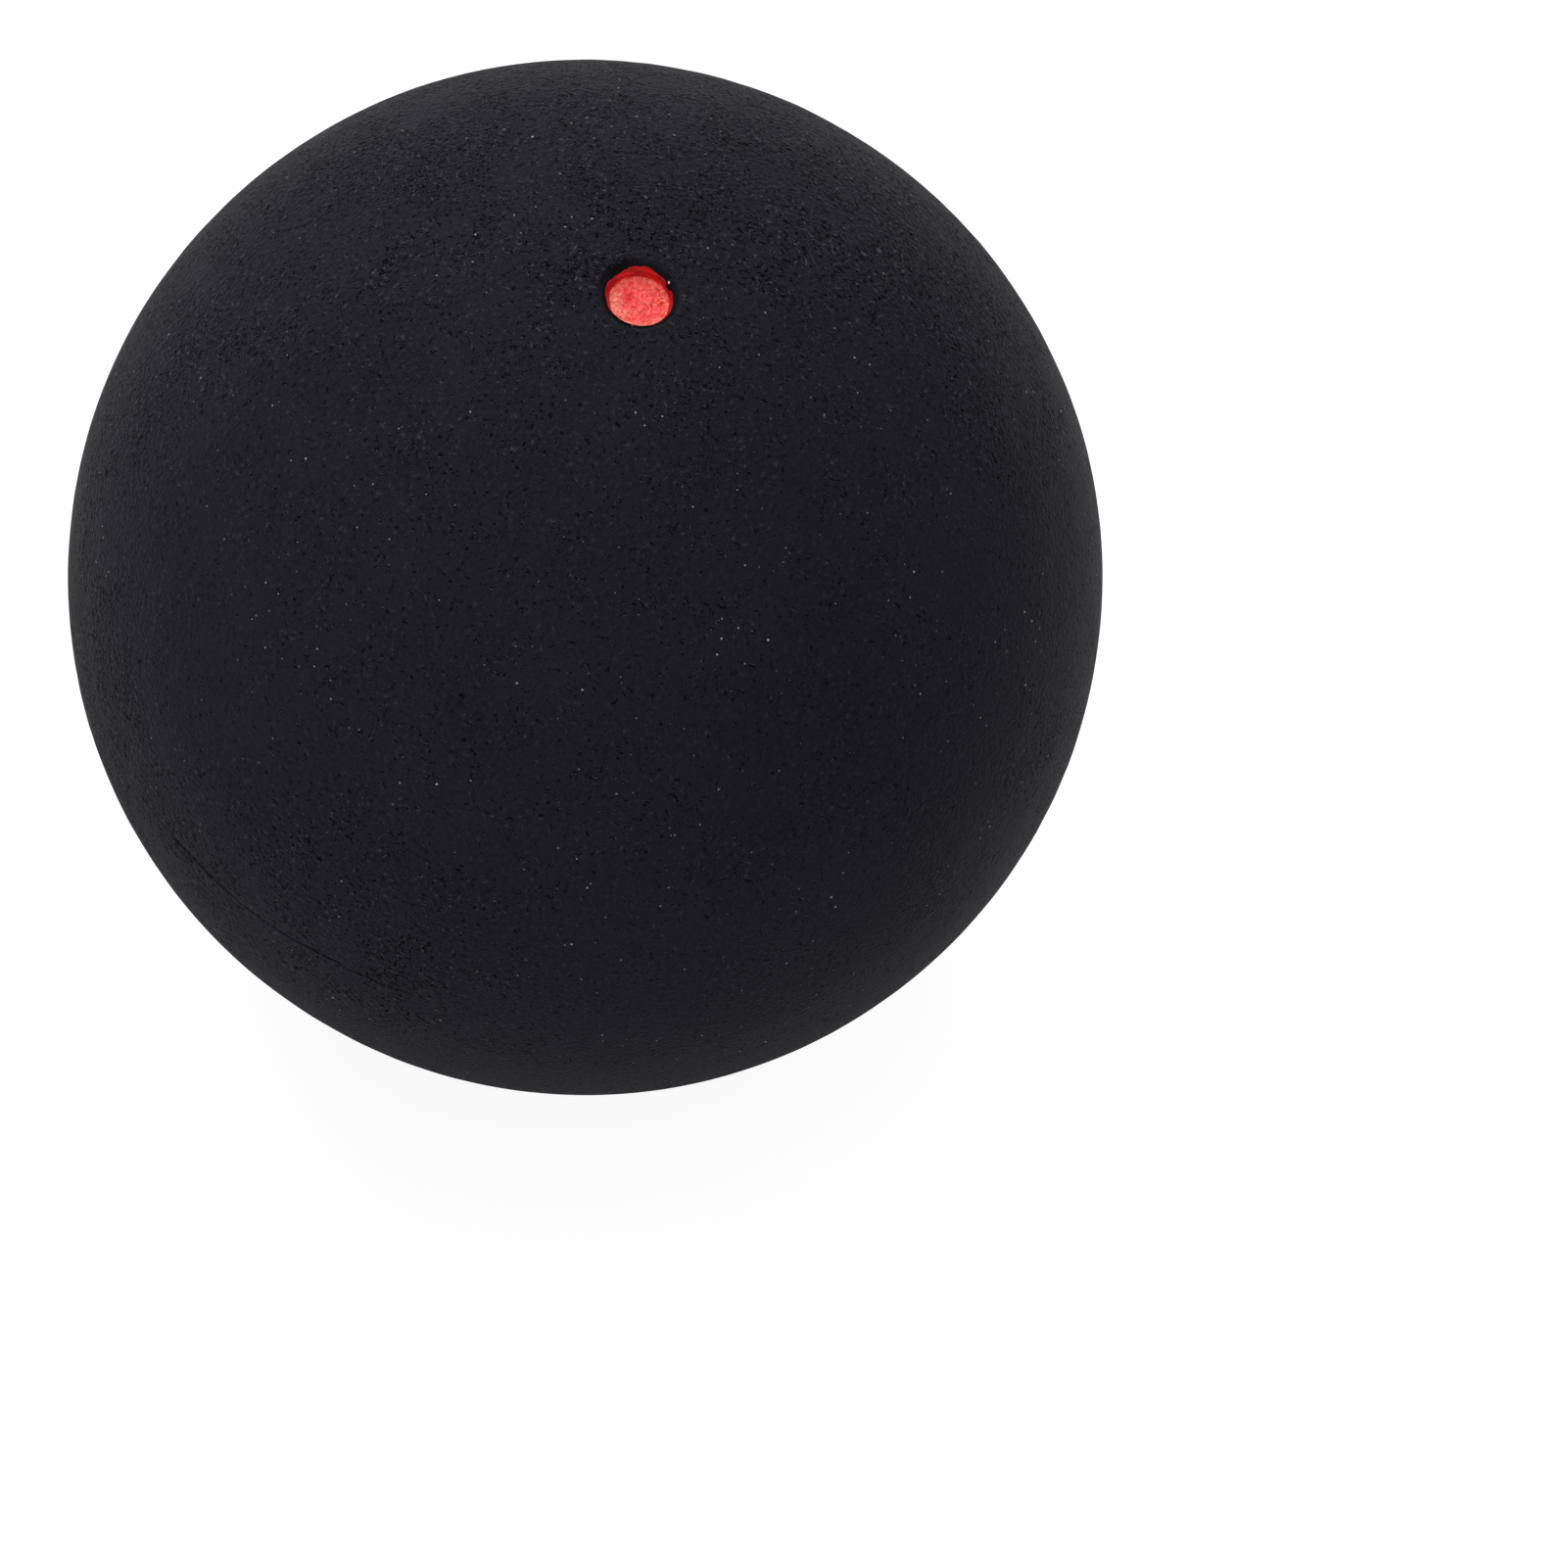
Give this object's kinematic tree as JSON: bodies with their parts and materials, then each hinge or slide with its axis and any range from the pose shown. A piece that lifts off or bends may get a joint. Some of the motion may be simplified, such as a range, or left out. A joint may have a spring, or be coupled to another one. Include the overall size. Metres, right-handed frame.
{
  "type": "squash ball",
  "caption": "Hollow matt black rubber squash ball, cemented half shells round sealed air, with a fine seam line and a painted speed dot in a small pit.",
  "frame": {"origin": "centre of the ball", "axes": "+Z along the moulding axis, square to the seam and towards the half with the dot; +X towards the side that the dot leans to"},
  "size_m": [0.04, 0.04, 0.04],
  "materials": {
    "ball_rubber": "matt, buffed",
    "rubber_cement": "satin, cured",
    "dot_paint": "satin paint film",
    "print_ink": "matt printed ink"
  },
  "bodies": {
    "root": {"dot_half_shell": "ball_rubber", "plain_half_shell": "ball_rubber", "seam_cement": "rubber_cement", "speed_dot": "dot_paint"}
  },
  "joints": []
}
